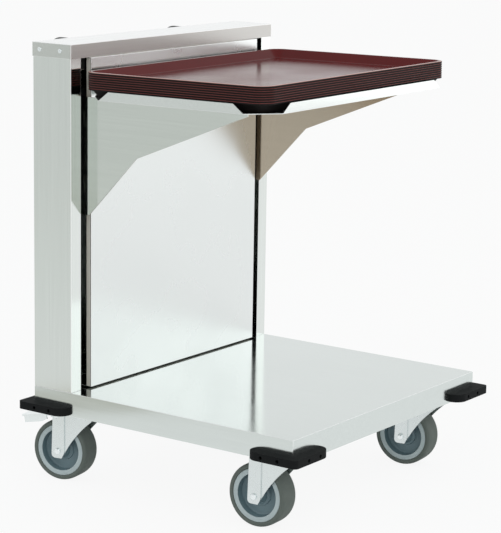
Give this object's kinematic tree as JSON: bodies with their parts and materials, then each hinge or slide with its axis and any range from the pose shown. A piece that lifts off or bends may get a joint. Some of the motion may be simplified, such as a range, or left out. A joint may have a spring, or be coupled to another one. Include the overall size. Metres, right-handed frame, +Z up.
{
  "type": "mobile tray dispenser",
  "caption": "Self-levelling tray dispenser: a stainless base on swivel castors, braked at the back, with corner bumpers, a slotted tower and a sprung shelf carrying nested trays.",
  "frame": {"origin": "on the floor under the middle of the whole outline, bumpers and handles included", "axes": "+Z up, -Y out of the open front, +X to the right seen from the front"},
  "size_m": [0.708, 0.738, 0.89],
  "materials": {
    "stainless_sheet": "fine ground stainless sheet",
    "polished_steel": "bright annealed stainless sheet, nearly a mirror",
    "zinc_plated_steel": "bright zinc plating",
    "black_rubber": "moulded, matt",
    "black_plastic": "moulded, matt",
    "grey_plastic": "moulded, satin",
    "grey_tyre": "non-marking rubber, matt",
    "roller_plastic": "turned nylon",
    "tray_laminate": "pressed laminate, satin"
  },
  "bodies": {
    "cart": {"base_deck": "stainless_sheet", "deck_channels": "stainless_sheet", "castor_plates": "zinc_plated_steel", "castor_bolts": "zinc_plated_steel", "bumper_front_left": "black_rubber", "bumper_front_right": "black_rubber", "bumper_back_left": "black_rubber", "bumper_back_right": "black_rubber", "bumper_screws": "zinc_plated_steel", "tower_side_left": "stainless_sheet", "tower_side_right": "stainless_sheet", "rear_panel": "stainless_sheet", "front_panel": "polished_steel", "top_cap": "stainless_sheet", "cap_rivets": "zinc_plated_steel", "guide_rail_left": "stainless_sheet", "guide_rail_right": "stainless_sheet", "spring_beam": "stainless_sheet", "floor_plate": "stainless_sheet", "stop_buffers": "black_rubber", "push_handle_left": "black_plastic", "push_handle_right": "black_plastic", "handle_bolts": "zinc_plated_steel", "lift_springs": "zinc_plated_steel"},
    "carriage": {"bracket_left": "stainless_sheet", "bracket_right": "stainless_sheet", "upper_crossbar": "stainless_sheet", "lower_crossbar": "stainless_sheet", "tray_shelf": "stainless_sheet", "roller_pins": "zinc_plated_steel"},
    "roller_upper_left": {"roller_upper_left": "roller_plastic"},
    "roller_upper_right": {"roller_upper_right": "roller_plastic"},
    "roller_lower_left": {"roller_lower_left": "roller_plastic"},
    "roller_lower_right": {"roller_lower_right": "roller_plastic"},
    "castor_front_left": {"fork_front_left": "zinc_plated_steel", "axle_front_left": "zinc_plated_steel"},
    "wheel_front_left": {"wheel_centre_front_left": "grey_plastic", "tyre_front_left": "grey_tyre"},
    "castor_front_right": {"fork_front_right": "zinc_plated_steel", "axle_front_right": "zinc_plated_steel"},
    "wheel_front_right": {"wheel_centre_front_right": "grey_plastic", "tyre_front_right": "grey_tyre"},
    "castor_back_left": {"fork_back_left": "zinc_plated_steel", "axle_back_left": "zinc_plated_steel"},
    "wheel_back_left": {"wheel_centre_back_left": "grey_plastic", "tyre_back_left": "grey_tyre"},
    "castor_back_right": {"fork_back_right": "zinc_plated_steel", "axle_back_right": "zinc_plated_steel"},
    "wheel_back_right": {"wheel_centre_back_right": "grey_plastic", "tyre_back_right": "grey_tyre"},
    "brake_pedal_back_left": {"brake_pedal_back_left": "zinc_plated_steel"},
    "brake_pedal_back_right": {"brake_pedal_back_right": "zinc_plated_steel"},
    "tray_1": {"tray_1": "tray_laminate"},
    "tray_2": {"tray_2": "tray_laminate"},
    "tray_3": {"tray_3": "tray_laminate"},
    "tray_4": {"tray_4": "tray_laminate"},
    "tray_5": {"tray_5": "tray_laminate"},
    "tray_6": {"tray_6": "tray_laminate"},
    "tray_7": {"tray_7": "tray_laminate"},
    "tray_8": {"tray_8": "tray_laminate"}
  },
  "joints": [
    {"name": "shelf_lift", "type": "slide", "parent": "cart", "child": "carriage", "axis": [0, 0, 1], "range_m": [-0.344, 0], "stiffness_N_per_m": 1940, "springref_m": 0.1, "deforming": ["lift_springs"]},
    {"name": "roller_upper_left_spin", "type": "hinge", "parent": "carriage", "child": "roller_upper_left", "pos_m": [-0.315, 0.238, 0.7347], "axis": [1, 0, 0], "range_deg": [-1125, 1125]},
    {"name": "roller_upper_right_spin", "type": "hinge", "parent": "carriage", "child": "roller_upper_right", "pos_m": [0.315, 0.238, 0.7347], "axis": [1, 0, 0], "range_deg": [-1125, 1125]},
    {"name": "roller_lower_left_spin", "type": "hinge", "parent": "carriage", "child": "roller_lower_left", "pos_m": [-0.315, 0.238, 0.604], "axis": [1, 0, 0], "range_deg": [-1125, 1125]},
    {"name": "roller_lower_right_spin", "type": "hinge", "parent": "carriage", "child": "roller_lower_right", "pos_m": [0.315, 0.238, 0.604], "axis": [1, 0, 0], "range_deg": [-1125, 1125]},
    {"name": "castor_swivel_front_left", "type": "hinge", "parent": "cart", "child": "castor_front_left", "pos_m": [-0.263, -0.2744, 0.14], "axis": [0, 0, 1], "continuous": true},
    {"name": "wheel_spin_front_left", "type": "hinge", "parent": "castor_front_left", "child": "wheel_front_left", "pos_m": [-0.26512, -0.23245, 0.0625], "axis": [0.9987, 0.0506, 0], "continuous": true},
    {"name": "castor_swivel_front_right", "type": "hinge", "parent": "cart", "child": "castor_front_right", "pos_m": [0.263, -0.2744, 0.14], "axis": [0, 0, 1], "continuous": true},
    {"name": "wheel_spin_front_right", "type": "hinge", "parent": "castor_front_right", "child": "wheel_front_right", "pos_m": [0.25912, -0.23258, 0.0625], "axis": [0.9957, 0.0924, 0], "continuous": true},
    {"name": "castor_swivel_back_left", "type": "hinge", "parent": "cart", "child": "castor_back_left", "pos_m": [-0.263, 0.2144, 0.14], "axis": [0, 0, 1], "continuous": true},
    {"name": "wheel_spin_back_left", "type": "hinge", "parent": "castor_back_left", "child": "wheel_back_left", "pos_m": [-0.26957, 0.25588, 0.0625], "axis": [0.9877, 0.1564, 0], "continuous": true},
    {"name": "brake_back_left", "type": "hinge", "parent": "castor_back_left", "child": "brake_pedal_back_left", "pos_m": [-0.27004, 0.25885, 0.134], "axis": [-0.9877, -0.1564, 0], "range_deg": [0, 14]},
    {"name": "castor_swivel_back_right", "type": "hinge", "parent": "cart", "child": "castor_back_right", "pos_m": [0.263, 0.2144, 0.14], "axis": [0, 0, 1], "continuous": true},
    {"name": "wheel_spin_back_right", "type": "hinge", "parent": "castor_back_right", "child": "wheel_back_right", "pos_m": [0.263, 0.2564, 0.0625], "axis": [1, 0, 0], "continuous": true},
    {"name": "brake_back_right", "type": "hinge", "parent": "castor_back_right", "child": "brake_pedal_back_right", "pos_m": [0.263, 0.2594, 0.134], "axis": [-1, 0, 0], "range_deg": [0, 14]},
    {"name": "tray_1_lift", "type": "slide", "parent": "carriage", "child": "tray_1", "axis": [0, 0.0122, 0.9999], "range_m": [0, 0.06]},
    {"name": "tray_2_lift", "type": "slide", "parent": "tray_1", "child": "tray_2", "axis": [0, 0.0122, 0.9999], "range_m": [0, 0.06]},
    {"name": "tray_3_lift", "type": "slide", "parent": "tray_2", "child": "tray_3", "axis": [0, 0.0122, 0.9999], "range_m": [0, 0.06]},
    {"name": "tray_4_lift", "type": "slide", "parent": "tray_3", "child": "tray_4", "axis": [0, 0.0122, 0.9999], "range_m": [0, 0.06]},
    {"name": "tray_5_lift", "type": "slide", "parent": "tray_4", "child": "tray_5", "axis": [0, 0.0122, 0.9999], "range_m": [0, 0.06]},
    {"name": "tray_6_lift", "type": "slide", "parent": "tray_5", "child": "tray_6", "axis": [0, 0.0122, 0.9999], "range_m": [0, 0.06]},
    {"name": "tray_7_lift", "type": "slide", "parent": "tray_6", "child": "tray_7", "axis": [0, 0.0122, 0.9999], "range_m": [0, 0.06]},
    {"name": "tray_8_lift", "type": "slide", "parent": "tray_7", "child": "tray_8", "axis": [0, 0.0122, 0.9999], "range_m": [0, 0.06]}
  ],
  "couplings": [
    {"joint": "roller_upper_left_spin", "follows": "shelf_lift", "rad_per_m": 56.497},
    {"joint": "roller_upper_right_spin", "follows": "shelf_lift", "rad_per_m": 56.497},
    {"joint": "roller_lower_left_spin", "follows": "shelf_lift", "rad_per_m": -56.497},
    {"joint": "roller_lower_right_spin", "follows": "shelf_lift", "rad_per_m": -56.497}
  ]
}
